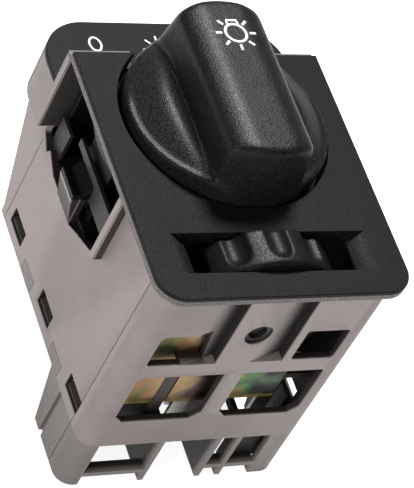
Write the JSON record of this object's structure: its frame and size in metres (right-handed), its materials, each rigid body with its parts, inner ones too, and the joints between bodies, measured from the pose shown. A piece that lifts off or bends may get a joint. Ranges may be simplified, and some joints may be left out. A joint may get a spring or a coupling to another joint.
{
  "type": "headlight switch",
  "caption": "Dashboard headlight switch: rotary knob with a crowned grip, dimmer thumbwheel, symbol strip, sprung side latches and a rear connector skirt.",
  "frame": {"origin": "centre of the bounding box at the level of the rear feet", "axes": "+Z along the knob's axis, out of the dashboard; +Y towards the symbol strip; X across the switch"},
  "size_m": [0.058, 0.082, 0.0855],
  "materials": {
    "front_bezel": "fine leather grain, satin black",
    "symbol_strip": "smooth black with pale symbols",
    "housing": "pale grey moulding",
    "rear_base": "pale grey moulding",
    "mechanism_carrier": "black moulding",
    "contact_board": "brown laminate",
    "fixed_contact_1": "copper alloy",
    "fixed_contact_2": "copper alloy",
    "fixed_contact_3": "copper alloy",
    "terminal_blade_1": "tinned copper alloy",
    "terminal_blade_2": "tinned copper alloy",
    "terminal_blade_3": "tinned copper alloy",
    "terminal_blade_4": "tinned copper alloy",
    "terminal_blade_5": "tinned copper alloy",
    "terminal_blade_6": "tinned copper alloy",
    "terminal_blade_7": "tinned copper alloy",
    "terminal_blade_8": "tinned copper alloy",
    "dimmer_heat_plate": "iridescent yellow plating",
    "dimmer_resistor": "dark resistance strip",
    "detent_spring": "spring steel",
    "left_latch_spring": "spring steel",
    "right_latch_spring": "spring steel",
    "symbol_bulb": "clear glass",
    "bulb_holder": "blue holder",
    "knob": "fine leather grain, satin black",
    "selector_shaft": "grey moulding",
    "shaft_retaining_ring": "spring steel",
    "contact_rotor": "black moulding",
    "moving_contact": "copper alloy",
    "dimmer_thumbwheel": "satin black",
    "dimmer_axle": "grey moulding",
    "dimmer_wiper": "copper alloy",
    "left_latch": "black moulding",
    "right_latch": "black moulding"
  },
  "bodies": {
    "body": {"front_bezel": "front_bezel", "symbol_strip": "symbol_strip", "housing": "housing", "rear_base": "rear_base", "mechanism_carrier": "mechanism_carrier", "contact_board": "contact_board", "fixed_contact_1": "fixed_contact_1", "fixed_contact_2": "fixed_contact_2", "fixed_contact_3": "fixed_contact_3", "terminal_blade_1": "terminal_blade_1", "terminal_blade_2": "terminal_blade_2", "terminal_blade_3": "terminal_blade_3", "terminal_blade_4": "terminal_blade_4", "terminal_blade_5": "terminal_blade_5", "terminal_blade_6": "terminal_blade_6", "terminal_blade_7": "terminal_blade_7", "terminal_blade_8": "terminal_blade_8", "dimmer_heat_plate": "dimmer_heat_plate", "dimmer_resistor": "dimmer_resistor", "detent_spring": "detent_spring", "left_latch_spring": "left_latch_spring", "right_latch_spring": "right_latch_spring", "symbol_bulb": "symbol_bulb", "bulb_holder": "bulb_holder"},
    "selector": {"knob": "knob", "selector_shaft": "selector_shaft", "shaft_retaining_ring": "shaft_retaining_ring", "contact_rotor": "contact_rotor", "moving_contact": "moving_contact"},
    "dimmer": {"dimmer_thumbwheel": "dimmer_thumbwheel", "dimmer_axle": "dimmer_axle", "dimmer_wiper": "dimmer_wiper"},
    "left_catch": {"left_latch": "left_latch"},
    "right_catch": {"right_latch": "right_latch"}
  },
  "joints": [
    {"name": "knob_turn", "type": "hinge", "parent": "body", "child": "selector", "pos_m": [0, 0.0047, 0.07], "axis": [0, 0, 1], "range_deg": [-30, 30]},
    {"name": "dimmer_turn", "type": "hinge", "parent": "body", "child": "dimmer", "pos_m": [0, -0.0299, 0.0533], "axis": [0, 1, 0], "range_deg": [-45, 45]},
    {"name": "left_latch_slide", "type": "slide", "parent": "body", "child": "left_catch", "axis": [1, 0, 0], "range_m": [0, 0.0026], "stiffness_N_per_m": 100, "springref_m": -0.004, "deforming": ["left_latch_spring"]},
    {"name": "right_latch_slide", "type": "slide", "parent": "body", "child": "right_catch", "axis": [-1, 0, 0], "range_m": [0, 0.0026], "stiffness_N_per_m": 100, "springref_m": -0.004, "deforming": ["right_latch_spring"]}
  ]
}
